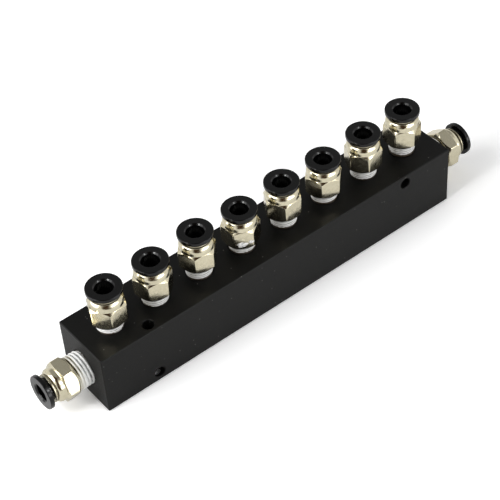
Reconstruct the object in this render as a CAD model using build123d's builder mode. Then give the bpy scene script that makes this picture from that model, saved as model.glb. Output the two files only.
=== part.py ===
from build123d import *

import math
import os
from dataclasses import dataclass

# Air manifold bar, millimetres. X runs along the bar, +Z is up, the origin is the
# centre of the underside. Outlets stand on the top face and one inlet on each end.

# Bar
PORT_COUNT = 8
PORT_PITCH = 19.0
END_MARGIN = 12.5
BAR_WIDTH = 25.0
BAR_HEIGHT = 25.0
BAR_EDGE = 0.3

# Ports: each is drilled a step inside its thread's small end
PORT_MOUTH = 0.3
PORT_SPARE_DEPTH = 1.0
PORT_STEP = 0.5

# Mounting holes, one pair down through the bar and one pair across it
MOUNT_HOLE_D = 4.3
MOUNT_HOLE_INSET = 3.6
MOUNT_HOLE_MOUTH = 0.25

# Clearances
THREAD_GAP = 0.02
PRESSED_GAP = 0.02
RUNNING_GAP = 0.05
STOP_GAP = 0.1

# Tube, and what sits round it from the inside out: walls and gaps are on the radius
TUBE_D = 6.0
FLOW_BORE_D = 4.4
RING_TUBE_GAP = 0.15
RING_WALL = 0.95
RING_BEAD_HEIGHT = 0.32
BEAD_GAP = 0.08
RETAINER_WALL = 0.33
RIM_LEDGE = 0.52
FLANGE_OVERHANG = 1.1

# Taper threads: diameter over the crests at the bar's face
THREAD_TAPER = 1.0 / 16.0
OUTLET_CREST_D = 9.73
OUTLET_THREAD_PITCH = 0.907
OUTLET_RIDGE = 0.3
OUTLET_ROOT_DEPTH = 0.58
OUTLET_ENGAGED = 4.1
INLET_CREST_D = 12.9
INLET_THREAD_PITCH = 1.337
INLET_RIDGE = 0.5
INLET_ROOT_DEPTH = 0.86
INLET_ENGAGED = 5.5
COAT_HEX_GAP = 0.25

# Fitting bodies, outwards from the bar's face. The walls, measured from the cartridge
# bore to a flat, give hexagons of 12.5 and 14 across the flats
OUTLET_THREAD_SHOWN = 3.9
OUTLET_HEX_LENGTH = 7.95
OUTLET_SHOULDER_LENGTH = 3.1
OUTLET_BODY_WALL = 1.4
OUTLET_SHOULDER_STEP = 0.05
OUTLET_TOP_CHAMFER = 45.0
OUTLET_RING_GAP = 1.0
INLET_THREAD_SHOWN = 5.9
INLET_HEX_LENGTH = 5.1
INLET_SHOULDER_LENGTH = 2.8
INLET_BODY_WALL = 2.15
INLET_SHOULDER_STEP = 0.7
INLET_TOP_CHAMFER = 20.0
INLET_RING_GAP = 1.4
HEX_CORNER_LOSS = 0.1
HEX_BASE_STEP = 0.25
HEX_BASE_CHAMFER = 45.0
SHOULDER_WALL = 1.0
BODY_LIP = 0.45

# How far each hexagon had turned when its thread went tight, in degrees
OUTLET_HEX_TURNS = (6.9, 42.4, 46.9, 31.4, 1.1, 44.6, 6.6, 27.1)
INLET_LEFT_HEX_TURN = 27.2
INLET_RIGHT_HEX_TURN = 55.0

# How far each outlet fitting stands off its full depth in the taper, outwards
OUTLET_LIFTS = (-0.4, 0.0, 0.5, -0.5, 0.4, -0.3, 0.3, 0.7)

# How far in each outlet's release ring rests, measured from fully out
OUTLET_RING_SINKS = (0.05, 0.6, 0.0, 0.5, 0.4, 0.5, 0.2, 0.3)

# Seats inside a body, inwards from its mouth
CLAW_SEAT_DEPTH = 4.9
CLAW_SEAT_WIDTH = 0.45
SEAL_POCKET_LENGTH = 3.4
TUBE_SOCKET_LENGTH = 2.7
SOCKET_GAP = 0.1

# Retainer
RIM_LIFT = 0.45
RIM_HEIGHT = 0.5
RIM_ROUND = 0.2
RETAINER_LIP_DEPTH = 1.6

# Release ring
FLANGE_THICK = 1.6
FLANGE_CHAMFER = 0.32
RING_LEAD_IN = 0.55
RING_NOSE_WALL = 0.4
RING_BEAD_LENGTH = 0.6

# Grab ring
CLAW_COUNT = 8
CLAW_SHEET = 0.3
CLAW_RIM_WIDTH = 0.9
CLAW_BITE = 0.1
CLAW_REACH = 0.9
CLAW_SLOT = 0.6

# Lip seal
SEAL_LENGTH = 1.8
SEAL_SQUEEZE = 0.05
SEAL_GROOVE = 0.7

# Sizes that follow
BAR_LENGTH = (PORT_COUNT - 1) * PORT_PITCH + 2 * END_MARGIN
TUBE_R = TUBE_D / 2
FLOW_R = FLOW_BORE_D / 2
SOCKET_R = TUBE_R + SOCKET_GAP
RING_BORE_R = TUBE_R + RING_TUBE_GAP
SLEEVE_R = RING_BORE_R + RING_WALL
GUIDE_R = SLEEVE_R + RUNNING_GAP
BEAD_R = SLEEVE_R + RING_BEAD_HEIGHT
BEAD_ROOM_R = BEAD_R + BEAD_GAP
BARREL_R = BEAD_ROOM_R + RETAINER_WALL
CARTRIDGE_R = BARREL_R + PRESSED_GAP
RIM_R = BARREL_R + RIM_LEDGE
FLANGE_R = RIM_R + FLANGE_OVERHANG
SEAL_POCKET_R = CARTRIDGE_R - CLAW_SEAT_WIDTH


@dataclass
class Style:
    """The sizes that differ between an outlet fitting and an inlet fitting."""

    crest_d: float
    pitch: float
    ridge: float
    root_depth: float
    engaged: float
    thread_shown: float
    hex_length: float
    shoulder_length: float
    body_wall: float
    shoulder_step: float
    top_chamfer: float
    ring_gap: float

    def crest_r(self, height):
        return self.crest_d / 2 + height * THREAD_TAPER / 2

    def spigot_r(self, height):
        return self.crest_r(height) - self.root_depth

    def port_depth(self):
        return self.engaged + PORT_SPARE_DEPTH

    def drill_r(self):
        return self.crest_r(-self.port_depth()) - PORT_STEP

    def flat_r(self):
        return CARTRIDGE_R + self.body_wall

    def hex_base(self):
        return self.thread_shown

    def hex_top(self):
        return self.hex_base() + self.hex_length

    def mouth(self):
        return self.hex_top() + self.shoulder_length

    def claw_seat(self):
        return self.mouth() - CLAW_SEAT_DEPTH

    def pocket_floor(self):
        return self.claw_seat() - SEAL_POCKET_LENGTH

    def tube_stop(self):
        return self.pocket_floor() - TUBE_SOCKET_LENGTH

    def rim_top(self):
        return self.mouth() + RIM_LIFT + RIM_HEIGHT

    def travel(self):
        return self.ring_gap - STOP_GAP


OUTLET = Style(
    crest_d=OUTLET_CREST_D,
    pitch=OUTLET_THREAD_PITCH,
    ridge=OUTLET_RIDGE,
    root_depth=OUTLET_ROOT_DEPTH,
    engaged=OUTLET_ENGAGED,
    thread_shown=OUTLET_THREAD_SHOWN,
    hex_length=OUTLET_HEX_LENGTH,
    shoulder_length=OUTLET_SHOULDER_LENGTH,
    body_wall=OUTLET_BODY_WALL,
    shoulder_step=OUTLET_SHOULDER_STEP,
    top_chamfer=OUTLET_TOP_CHAMFER,
    ring_gap=OUTLET_RING_GAP,
)
INLET = Style(
    crest_d=INLET_CREST_D,
    pitch=INLET_THREAD_PITCH,
    ridge=INLET_RIDGE,
    root_depth=INLET_ROOT_DEPTH,
    engaged=INLET_ENGAGED,
    thread_shown=INLET_THREAD_SHOWN,
    hex_length=INLET_HEX_LENGTH,
    shoulder_length=INLET_SHOULDER_LENGTH,
    body_wall=INLET_BODY_WALL,
    shoulder_step=INLET_SHOULDER_STEP,
    top_chamfer=INLET_TOP_CHAMFER,
    ring_gap=INLET_RING_GAP,
)


def seat_axis(seat):
    """The centre line of whatever stands on a seat plane."""
    return Axis(seat.origin, seat.z_dir)


def half_section(seat):
    """A plane through the seat's centre line: x is the radius, y the height."""
    return Plane(origin=seat.origin, x_dir=seat.x_dir, z_dir=-seat.y_dir)


def for_outlet(values, index):
    """One outlet's own value: a bar with more ports goes through the list again."""
    return values[index % len(values)]


# Where the fittings stand
outlet_seats = [
    Plane(
        origin=((index - (PORT_COUNT - 1) / 2) * PORT_PITCH, 0, BAR_HEIGHT + for_outlet(OUTLET_LIFTS, index)),
        x_dir=(1, 0, 0),
        z_dir=(0, 0, 1),
    )
    for index in range(PORT_COUNT)
]
inlet_left_seat = Plane(origin=(-BAR_LENGTH / 2, 0, BAR_HEIGHT / 2), x_dir=(0, 0, 1), z_dir=(-1, 0, 0))
inlet_right_seat = Plane(origin=(BAR_LENGTH / 2, 0, BAR_HEIGHT / 2), x_dir=(0, 0, 1), z_dir=(1, 0, 0))


def port_section(style, face, floor):
    """Half section of a tapered port with a chamfered mouth and a drilling below it.

    Heights are counted from the fitting's seat: face is the bar's surface.
    """
    depth = style.port_depth()
    mouth_r = style.crest_r(face - PORT_MOUTH) + THREAD_GAP
    Polyline(
        (0, face),
        (mouth_r + PORT_MOUTH, face),
        (mouth_r, face - PORT_MOUTH),
        (style.crest_r(-depth) + THREAD_GAP, -depth),
        (style.drill_r(), -depth),
        (style.drill_r(), floor),
        (0, floor),
        close=True,
    )


# Manifold bar
mount_x = (PORT_COUNT / 2 - 1) * PORT_PITCH
mount_y = BAR_WIDTH / 2 - MOUNT_HOLE_INSET
mount_z = BAR_HEIGHT / 2 - MOUNT_HOLE_INSET

with BuildPart() as manifold_block:
    with BuildSketch(Plane.XY):
        Rectangle(BAR_LENGTH, BAR_WIDTH)
    extrude(amount=BAR_HEIGHT)
    chamfer(manifold_block.edges(), length=BAR_EDGE)
    # Outlet ports drop into the main bore
    for seat in outlet_seats:
        lift = seat.origin.Z - BAR_HEIGHT
        with BuildSketch(half_section(seat)):
            with BuildLine():
                port_section(OUTLET, -lift, -lift - BAR_HEIGHT / 2)
            make_face()
        revolve(axis=seat_axis(seat), mode=Mode.SUBTRACT)
    # The inlet ports' drilling meets in the middle and is the main bore
    for seat in (inlet_left_seat, inlet_right_seat):
        with BuildSketch(half_section(seat)):
            with BuildLine():
                port_section(INLET, 0, -BAR_LENGTH / 2 - THREAD_GAP)
            make_face()
        revolve(axis=seat_axis(seat), mode=Mode.SUBTRACT)
    # Mounting holes in opposite corners, down through the bar and across it
    with Locations(Plane.XY.offset(BAR_HEIGHT)):
        with Locations((-mount_x, -mount_y), (mount_x, mount_y)):
            CounterSinkHole(MOUNT_HOLE_D / 2, MOUNT_HOLE_D / 2 + MOUNT_HOLE_MOUTH, counter_sink_angle=90)
    with Locations(Plane(origin=(0, -BAR_WIDTH / 2, BAR_HEIGHT / 2), x_dir=(1, 0, 0), z_dir=(0, -1, 0))):
        with Locations((-mount_x, -mount_z), (mount_x, mount_z)):
            CounterSinkHole(MOUNT_HOLE_D / 2, MOUNT_HOLE_D / 2 + MOUNT_HOLE_MOUTH, counter_sink_angle=90)
manifold_block.part.label = "manifold_block"


def fitting_body(seat, style, turn):
    """Turned hexagon body: tapered spigot, hexagon, rounded shoulder and stepped bore."""
    corner_r = style.flat_r() * 2 / math.sqrt(3) - HEX_CORNER_LOSS
    base_r = style.flat_r() - HEX_BASE_STEP
    shoulder_r = style.flat_r() - style.shoulder_step
    lip_r = CARTRIDGE_R + BODY_LIP
    base_rise = (corner_r - base_r) * math.tan(math.radians(HEX_BASE_CHAMFER))
    top_fall = (corner_r - shoulder_r) * math.tan(math.radians(style.top_chamfer))
    wall_top = style.hex_top() + SHOULDER_WALL
    with BuildPart() as body:
        with BuildSketch(half_section(seat)):
            with BuildLine():
                Polyline(
                    (FLOW_R, -style.engaged),
                    (style.spigot_r(-style.engaged), -style.engaged),
                    (style.spigot_r(style.hex_base()), style.hex_base()),
                    (base_r, style.hex_base()),
                    (corner_r, style.hex_base() + base_rise),
                    (corner_r, style.hex_top() - top_fall),
                    (shoulder_r, style.hex_top()),
                    (shoulder_r, wall_top),
                )
                TangentArc((shoulder_r, wall_top), (lip_r, style.mouth()), tangent=(0, 1))
                Polyline(
                    (lip_r, style.mouth()),
                    (CARTRIDGE_R, style.mouth()),
                    (CARTRIDGE_R, style.claw_seat()),
                    (SEAL_POCKET_R, style.claw_seat()),
                    (SEAL_POCKET_R, style.pocket_floor()),
                    (SOCKET_R, style.pocket_floor()),
                    (SOCKET_R, style.tube_stop()),
                    (FLOW_R, style.tube_stop()),
                    (FLOW_R, -style.engaged),
                )
            make_face()
        revolve(axis=seat_axis(seat))
        # Six flats
        with BuildSketch(seat.offset(style.hex_base())):
            Circle(corner_r + 1)
            RegularPolygon(style.flat_r(), 6, major_radius=False, rotation=turn, mode=Mode.SUBTRACT)
        extrude(amount=style.hex_length, mode=Mode.SUBTRACT)
    return body.part


def thread_coat(seat, style):
    """White sealant band that fills and follows the taper thread's ridges."""
    top = style.hex_base() - COAT_HEX_GAP
    ridges = int((top + style.engaged) / style.pitch)
    outline = [(style.spigot_r(top) + THREAD_GAP, top)]
    for index in range(ridges):
        root = top - index * style.pitch
        crest = root - style.pitch / 2
        outline.append((style.crest_r(root) - style.ridge, root))
        outline.append((style.crest_r(crest), crest))
    tail = top - ridges * style.pitch
    outline.append((style.crest_r(tail) - style.ridge, tail))
    outline.append((style.crest_r(-style.engaged) - style.ridge, -style.engaged))
    outline.append((style.spigot_r(-style.engaged) + THREAD_GAP, -style.engaged))
    with BuildPart() as coat:
        with BuildSketch(half_section(seat)):
            with BuildLine():
                Polyline(*outline, close=True)
            make_face()
        revolve(axis=seat_axis(seat))
    return coat.part


def retainer(seat, style):
    """Metal bush pressed into the body's mouth: its rim shows and its bore guides the ring."""
    foot = style.claw_seat() + CLAW_SHEET + PRESSED_GAP
    lip = style.mouth() - RETAINER_LIP_DEPTH
    rim_base = style.mouth() + RIM_LIFT
    with BuildPart() as bush:
        with BuildSketch(half_section(seat)):
            with BuildLine():
                Polyline(
                    (BEAD_ROOM_R, foot),
                    (BARREL_R, foot),
                    (BARREL_R, rim_base),
                    (RIM_R, rim_base),
                    (RIM_R, style.rim_top() - RIM_ROUND),
                )
                RadiusArc(
                    (RIM_R, style.rim_top() - RIM_ROUND),
                    (RIM_R - RIM_ROUND, style.rim_top()),
                    -RIM_ROUND,
                )
                Polyline(
                    (RIM_R - RIM_ROUND, style.rim_top()),
                    (GUIDE_R + RIM_ROUND, style.rim_top()),
                    (GUIDE_R, style.rim_top() - RIM_ROUND),
                    (GUIDE_R, lip),
                    (BEAD_ROOM_R, lip),
                    (BEAD_ROOM_R, foot),
                )
            make_face()
        revolve(axis=seat_axis(seat))
    return bush.part


def release_ring(seat, style):
    """Push ring: flange outside, sleeve with a snap-in bead and a tapered nose inside."""
    flange_base = style.rim_top() + style.ring_gap
    face = flange_base + FLANGE_THICK
    nose = style.claw_seat() + CLAW_SHEET + 2 * STOP_GAP + style.travel()
    bead_top = style.mouth() - RETAINER_LIP_DEPTH - STOP_GAP
    bead_base = bead_top - RING_BEAD_LENGTH
    with BuildPart() as ring:
        with BuildSketch(half_section(seat)):
            with BuildLine():
                Polyline(
                    (RING_BORE_R, face - RING_LEAD_IN),
                    (RING_BORE_R, nose),
                    (RING_BORE_R + RING_NOSE_WALL, nose),
                    (SLEEVE_R, bead_base),
                    (BEAD_R, bead_base + RING_BEAD_LENGTH / 2),
                    (BEAD_R, bead_top),
                    (SLEEVE_R, bead_top),
                    (SLEEVE_R, flange_base),
                    (FLANGE_R - FLANGE_CHAMFER, flange_base),
                    (FLANGE_R, flange_base + FLANGE_CHAMFER),
                    (FLANGE_R, face - FLANGE_CHAMFER),
                    (FLANGE_R - FLANGE_CHAMFER, face),
                    (RING_BORE_R + RING_LEAD_IN, face),
                )
                RadiusArc(
                    (RING_BORE_R + RING_LEAD_IN, face),
                    (RING_BORE_R, face - RING_LEAD_IN),
                    -RING_LEAD_IN,
                )
            make_face()
        revolve(axis=seat_axis(seat))
    return ring.part


def grab_ring(seat, style):
    """Sheet steel ring with teeth that lean inwards and bite the tube."""
    bottom = style.claw_seat()
    top = bottom + CLAW_SHEET
    rim_r = CARTRIDGE_R - 2 * PRESSED_GAP
    root_r = CARTRIDGE_R - CLAW_RIM_WIDTH
    tip_r = TUBE_R - CLAW_BITE
    with BuildPart() as claws:
        with BuildSketch(half_section(seat)):
            with BuildLine():
                Polyline(
                    (rim_r, top),
                    (root_r, top),
                    (tip_r, bottom - CLAW_REACH + CLAW_SHEET),
                    (tip_r, bottom - CLAW_REACH),
                    (root_r, bottom),
                    (rim_r, bottom),
                    close=True,
                )
            make_face()
        revolve(axis=seat_axis(seat))
        # Slots between the teeth
        with BuildSketch(seat.offset(bottom - CLAW_REACH)):
            with PolarLocations(root_r / 2, CLAW_COUNT):
                Rectangle(root_r, CLAW_SLOT)
        extrude(amount=CLAW_REACH + CLAW_SHEET, mode=Mode.SUBTRACT)
    return claws.part


def lip_seal(seat, style):
    """Rubber seal with a lip on the tube and a pressure groove behind it."""
    outer_r = SEAL_POCKET_R - PRESSED_GAP
    lip_r = TUBE_R - SEAL_SQUEEZE
    floor = style.pocket_floor() + PRESSED_GAP
    top = floor + SEAL_LENGTH
    wall = (outer_r - lip_r) / 3
    with BuildPart() as seal:
        with BuildSketch(half_section(seat)):
            with BuildLine():
                Polyline(
                    (outer_r, floor),
                    (outer_r, top),
                    (lip_r + wall, top),
                    (lip_r, top - wall),
                    (lip_r, floor + wall),
                    (lip_r + wall / 2, floor),
                    (lip_r + wall, floor),
                    ((lip_r + outer_r) / 2, floor + SEAL_GROOVE),
                    (outer_r - wall, floor),
                    close=True,
                )
            make_face()
        revolve(axis=seat_axis(seat))
    return seal.part


def save(piece, name):
    """Label a finished piece and write its file."""
    piece.label = name
    export_step(piece, f"parts/{name}.step")


def save_fitting(seat, style, turn, sink, name):
    """The five pieces of one fitting; sink is how far in its release ring rests."""
    save(fitting_body(seat, style, turn), f"{name}_body")
    save(retainer(seat, style), f"{name}_retainer")
    save(release_ring(seat.offset(-sink), style), f"{name}_release_ring")
    save(grab_ring(seat, style), f"{name}_grab_ring")
    save(lip_seal(seat, style), f"{name}_seal")


os.makedirs("parts", exist_ok=True)
export_step(manifold_block.part, "parts/manifold_block.step")

for index, seat in enumerate(outlet_seats):
    turn = for_outlet(OUTLET_HEX_TURNS, index)
    sink = for_outlet(OUTLET_RING_SINKS, index)
    save_fitting(seat, OUTLET, turn, sink, f"outlet_{index + 1}")
save_fitting(inlet_left_seat, INLET, INLET_LEFT_HEX_TURN, 0, "inlet_left")
save_fitting(inlet_right_seat, INLET, INLET_RIGHT_HEX_TURN, 0, "inlet_right")

outlet_coats = Compound([thread_coat(seat, OUTLET) for seat in outlet_seats])
save(outlet_coats, "outlet_thread_sealant")
inlet_coats = Compound([thread_coat(seat, INLET) for seat in (inlet_left_seat, inlet_right_seat)])
save(inlet_coats, "inlet_thread_sealant")
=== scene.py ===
import math

import bpy
import numpy as np
from mathutils import Matrix, Vector


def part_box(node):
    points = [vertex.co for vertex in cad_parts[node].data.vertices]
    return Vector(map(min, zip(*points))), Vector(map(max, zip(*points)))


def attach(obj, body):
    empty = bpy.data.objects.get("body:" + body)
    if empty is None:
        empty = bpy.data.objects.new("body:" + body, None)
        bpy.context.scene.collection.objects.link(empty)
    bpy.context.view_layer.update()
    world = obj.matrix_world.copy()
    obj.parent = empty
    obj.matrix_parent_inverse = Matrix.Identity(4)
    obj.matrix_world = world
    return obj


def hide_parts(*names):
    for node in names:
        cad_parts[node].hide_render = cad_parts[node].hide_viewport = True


bl_info = {
    "name": "Air manifold bar",
    "version": (1, 0, 0),
    "blender": (4, 5, 0),
    "location": "View3D > Sidebar > Air manifold",
    "description": "Dresses the packed frame of an air manifold bar with push-in tube fittings",
    "category": "Add Mesh",
}

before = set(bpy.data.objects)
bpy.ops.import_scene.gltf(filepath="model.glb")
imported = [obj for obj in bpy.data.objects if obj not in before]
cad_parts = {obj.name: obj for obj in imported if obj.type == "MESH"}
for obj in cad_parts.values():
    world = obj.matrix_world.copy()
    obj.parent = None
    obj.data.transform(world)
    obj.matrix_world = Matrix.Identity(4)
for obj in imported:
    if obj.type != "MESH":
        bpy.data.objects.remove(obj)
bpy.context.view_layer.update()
MM = 0.001
# Growth of a taper thread's radius along its length, 1 in 16 on the diameter
TAPER = 1 / 32
# Azimuth of what lies behind the bar, across from the camera, in degrees
BEHIND = 144.3
OUTLETS = [f"outlet_{number}" for number in range(1, 9)]
INLETS = ["inlet_left", "inlet_right"]
BAR_LOW, BAR_HIGH = (np.array(corner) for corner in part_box("manifold_block"))

# How far each hexagon had turned when its thread went tight, in degrees
HEX_TURNS = dict(zip(OUTLETS + INLETS, (6.9, 42.4, 46.9, 31.4, 1.1, 44.6, 6.6, 27.1, 27.2, 55.0)))
# Millimetres between the bar's face and the lower edge of each outlet's coat of sealant
COAT_EDGES = dict(zip(OUTLETS, (0.2, 0.25, 0.4, 0.65, 0.6, 0.5, 0.4, 0.9)))


# Places and outlines


class Fitting:
    """One fitting: where it stands in the packed frame, two directions across it, and the heights along its axis,
    in millimetres from its seat, that its sizes and the packed pieces give."""

    def __init__(self, name, out, across):
        scene = bpy.context.scene
        size = scene.manifold_outlet if name in OUTLETS else scene.manifold_inlet
        core = scene.manifold_cartridge
        self.name, self.size, self.core = name, size, core
        self.out, self.across = np.array(out, float), np.array(across, float)
        self.side = np.cross(self.out, self.across)
        low, high = (np.array(corner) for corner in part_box(f"{name}_body"))
        inner = np.where(self.out > 0, low, high)
        self.origin = np.where(self.out == 0, (low + high) / 2, inner) + self.out * size.engaged * MM
        self.base = size.thread_shown
        self.top = self.base + size.hex_length
        self.mouth = self.top + size.shoulder_length
        self.rim_top = self.mouth + core.rim_lift + core.rim_height
        low, high = (np.array(corner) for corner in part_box(f"{name}_release_ring"))
        self.ring_face = float((np.where(self.out > 0, high, low) - self.origin) @ self.out) / MM
        self.ring_sink = self.rim_top + size.ring_gap + core.flange_thick - self.ring_face
        self.bar_face = float((np.where(self.out > 0, BAR_HIGH, BAR_LOW) - self.origin) @ self.out) / MM

    def place(self, radius, angle, height):
        """Millimetres round the fitting's axis to metres in the frame: origin + r cos a X + r sin a Y + h Z."""
        x = (radius * np.cos(angle))[..., None] * self.across
        y = (radius * np.sin(angle))[..., None] * self.side
        z = np.broadcast_to(height, radius.shape)[..., None] * self.out
        return self.origin + (x + y + z) * MM


def fittings():
    """All ten fittings, outlets first."""
    found = [Fitting(name, (0, 0, 1), (1, 0, 0)) for name in OUTLETS]
    found.append(Fitting("inlet_left", (-1, 0, 0), (0, 0, 1)))
    found.append(Fitting("inlet_right", (1, 0, 0), (0, 0, 1)))
    return found


def softened(corners, soft, steps=4):
    """An outline with rounded corners, and the corner that each point came from. Corner P becomes
    (1-t)^2 A + 2t(1-t) P + t^2 B for t from 0 to 1, where A and B lie the corner's softness back along its two
    edges, at most 0.45 of them. A softness of 0 keeps the corner."""
    before = np.roll(corners, 1, axis=0) - corners
    after = np.roll(corners, -1, axis=0) - corners
    reach = np.asarray(soft, float)[:, None, None]
    length_before = np.linalg.norm(before, axis=2, keepdims=True)
    length_after = np.linalg.norm(after, axis=2, keepdims=True)
    most, tiny = 0.45, 1e-9
    a = corners + before / np.maximum(length_before, tiny) * np.minimum(reach, most * length_before)
    b = corners + after / np.maximum(length_after, tiny) * np.minimum(reach, most * length_after)
    t = np.linspace(0, 1, steps + 1)[None, :, None, None]
    curve = (1 - t) ** 2 * a[:, None] + 2 * t * (1 - t) * corners[:, None] + t**2 * b[:, None]
    keep = (reach[:, :, 0] > 0) | (np.arange(steps + 1)[None, :] == 0)
    return curve[keep], np.repeat(np.arange(len(corners)), steps + 1)[keep.ravel()]


def rounding(start, end, steps):
    """Points strictly between start and end on the arc that leaves start along the axis. With dr and dh the way in
    and up, its radius is rho = (dr^2 + dh^2) / (2 dr), its centre rho inside start, and its angle runs from 0 to
    atan2(dh, rho - dr)."""
    inward, rise = start[0] - end[0], end[1] - start[1]
    rho = (inward**2 + rise**2) / (2 * inward)
    angle = np.linspace(0, math.atan2(rise, rho - inward), steps + 2)[1:-1]
    return np.stack([start[0] - rho + rho * np.cos(angle), start[1] + rho * np.sin(angle)], 1)


def show(name, data):
    """A new object in the scene."""
    item = bpy.data.objects.new(name, data)
    bpy.context.scene.collection.objects.link(item)
    return item


def ring_mesh(name, fitting, radius, height, angle, features):
    """A closed skin from rows along an outline and columns round an axis. Rows and columns both join up with their
    first, so the skin has no open edge. Its UV map runs in millimetres: round the axis, then along the outline.
    Each feature is a number per point, kept for the materials."""
    rows, columns = radius.shape
    points = fitting.place(radius, angle[None, :], height)
    i, j = np.meshgrid(np.arange(rows), np.arange(columns), indexing="ij")
    up, on = (i + 1) % rows, (j + 1) % columns
    quads = np.stack([i * columns + j, i * columns + on, up * columns + on, up * columns + j], -1).reshape(-1, 4)
    corners = points.reshape(-1, 3)[quads]
    normal = np.cross(corners[:, 2] - corners[:, 0], corners[:, 3] - corners[:, 1])
    # Six times the enclosed volume is below zero where the faces point inwards
    if ((corners.mean(1) - fitting.origin) * normal).sum() < 0:
        quads = quads[:, ::-1]
    mesh = bpy.data.meshes.new(name)
    mesh.vertices.add(rows * columns)
    mesh.vertices.foreach_set("co", points.astype(np.float32).ravel())
    mesh.loops.add(quads.size)
    mesh.loops.foreach_set("vertex_index", quads.astype(np.int32).ravel())
    mesh.polygons.add(len(quads))
    mesh.polygons.foreach_set("loop_start", np.arange(0, quads.size, 4, dtype=np.int32))
    mesh.update(calc_edges=True)
    mesh.polygons.foreach_set("use_smooth", np.ones(len(quads), bool))
    # The UV is carried past the seam so that it closes
    step = np.hypot(np.diff(radius, axis=0, append=radius[:1]), np.diff(height, axis=0, append=height[:1]))
    along = np.concatenate([np.zeros((1, columns)), np.cumsum(step, 0)[:-1]], 0)
    turn = angle - angle[0]
    row, column = quads // columns, quads % columns
    wrapped = (column == 0) & (column.max(1, keepdims=True) == columns - 1)
    u = (turn[column] + 2 * math.pi * wrapped) * radius.max()
    ends = (row == 0) & (row.max(1, keepdims=True) == rows - 1)
    v = np.where(ends, along[-1, 0] + step[-1, 0], along[row, column])
    layer = mesh.uv_layers.new(name="millimetres")
    layer.data.foreach_set("uv", np.stack([u, v], -1).astype(np.float32).ravel())
    for key, values in features.items():
        attribute = mesh.attributes.new(key, "FLOAT", "POINT")
        attribute.data.foreach_set("value", np.broadcast_to(values, radius.shape).astype(np.float32).ravel())
    mesh.validate()
    piece = show(name, mesh)
    # Wide faces count for more, so that a flat shades flat up to its rounded corners
    piece.modifiers.new("even_normals", "WEIGHTED_NORMAL").weight = 60
    return piece


def round_columns(count):
    """Even angles round the axis, the first at the back."""
    return np.arange(count) * 2 * math.pi / count + math.pi / 2


def hexagon_columns(turn, per_side):
    """Angles that crowd towards the hexagon's corners: 30 degrees x sin(90 degrees x s) about each flat's middle,
    for s from -1 to 1. The second result is each angle's distance from that middle."""
    s = np.arange(per_side) * 2 / per_side - 1
    within = math.radians(30) * np.sin(math.pi / 2 * s)
    middles = math.radians(turn + 30) + np.arange(6)[:, None] * math.pi / 3
    return (middles + within).ravel(), np.tile(within, 6)


def turned_piece(name, fitting, outline, columns=120, steps=4, grime_below=None):
    """A turned or moulded ring: an outline of (radius, height, softness) carried round the axis. With a grime
    height it is marked as grimy below that height and a little under half as grimy above it."""
    corners = np.array([[(r, z)] for r, z, _ in outline])
    rows, _ = softened(corners, [soft for _, _, soft in outline], steps)
    radius = np.repeat(rows[:, :, 0], columns, 1)
    height = np.repeat(rows[:, :, 1], columns, 1)
    grime = np.zeros_like(height)
    if grime_below is not None:
        blend, above = 0.08, 0.45
        grime = np.clip((grime_below - height) / blend, above, 1) * fitting.size.grime
    return ring_mesh(name, fitting, radius, height, round_columns(columns), {"grime": grime})


# Pieces of a fitting


def hexagon_body(fitting):
    """Hexagon body. A column's outline is the turned one, cut off at the flat: the flat stands flat_r / cos(angle
    from its middle) from the axis and the corner cylinder corner_r, and the smooth minimum
    (a + b - sqrt((a-b)^2 + k^2)) / 2 of the two carries the side. Each chamfer is a cone, so its height at a column
    is the cone's at that side."""
    size, core = fitting.size, fitting.core
    angle, within = hexagon_columns(HEX_TURNS[fitting.name], 24)
    flat_r = size.across_flats / 2
    corner_r = size.across_flats / math.sqrt(3) - size.corner_loss
    shoulder_r = flat_r - size.shoulder_step
    base_r = flat_r - size.base_step
    lip_r = core.cartridge_r + core.lip
    slant = flat_r / np.cos(within)
    blend = 0.05
    side = (slant + corner_r - np.sqrt((slant - corner_r) ** 2 + blend**2)) / 2
    low = fitting.base + (side - base_r) * math.tan(size.base_chamfer)
    high = fitting.top - (side - shoulder_r) * math.tan(size.top_chamfer)
    wall_top = fitting.top + size.shoulder_wall
    shoulder = rounding((shoulder_r, wall_top), (lip_r, fitting.mouth), steps=14)
    seat = fitting.mouth - core.claw_depth
    pocket = seat - core.seal_pocket
    stop = pocket - core.tube_socket
    spigot = size.crest_r - size.root_depth
    plain = [
        (base_r, fitting.base, 0.06),
        (None, "low", 0.07),
        (None, "high", 0.07),
        (shoulder_r, fitting.top, 0.1),
        (shoulder_r, wall_top, 0.0),
        *[(r, z, 0.0) for r, z in shoulder],
        (lip_r, fitting.mouth, 0.08),
        (core.cartridge_r, fitting.mouth, 0.06),
        (core.cartridge_r, seat, 0.02),
        (core.seal_r, seat, 0.02),
        (core.seal_r, pocket, 0.02),
        (core.socket_r, pocket, 0.02),
        (core.socket_r, stop, 0.02),
        (core.flow_r, stop, 0.05),
        (core.flow_r, -size.engaged, 0.1),
        (spigot - size.engaged * TAPER, -size.engaged, 0.1),
        (spigot + fitting.base * TAPER, fitting.base, 0.05),
    ]
    corners = np.zeros((len(plain), len(angle), 2))
    for index, (r, z, _) in enumerate(plain):
        corners[index, :, 0] = side if r is None else r
        corners[index, :, 1] = {"low": low, "high": high}[z] if r is None else z
    rows, corner = softened(corners, [soft for _, _, soft in plain])
    # The flat runs from the middle of the five points of its lower corner to the middle of its upper corner's
    first, last = (np.flatnonzero(corner == index)[2] for index in (1, 2))
    flat = np.zeros((len(rows), 1))
    flat[first : last + 1] = 1
    # Painted shade on the mouth's edge and in the groove below the retainer's rim, where shade falls
    fade = 0.3
    grime = np.clip((lip_r + size.grime_reach - rows[..., 0]) / fade, 0, 1)
    grime = grime * (rows[..., 1] > fitting.mouth - fade)
    features = {"flat": flat, "grime": grime * size.grime}
    return ring_mesh(f"{fitting.name}_hexagon_body", fitting, rows[..., 0], rows[..., 1], angle, features)


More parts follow.
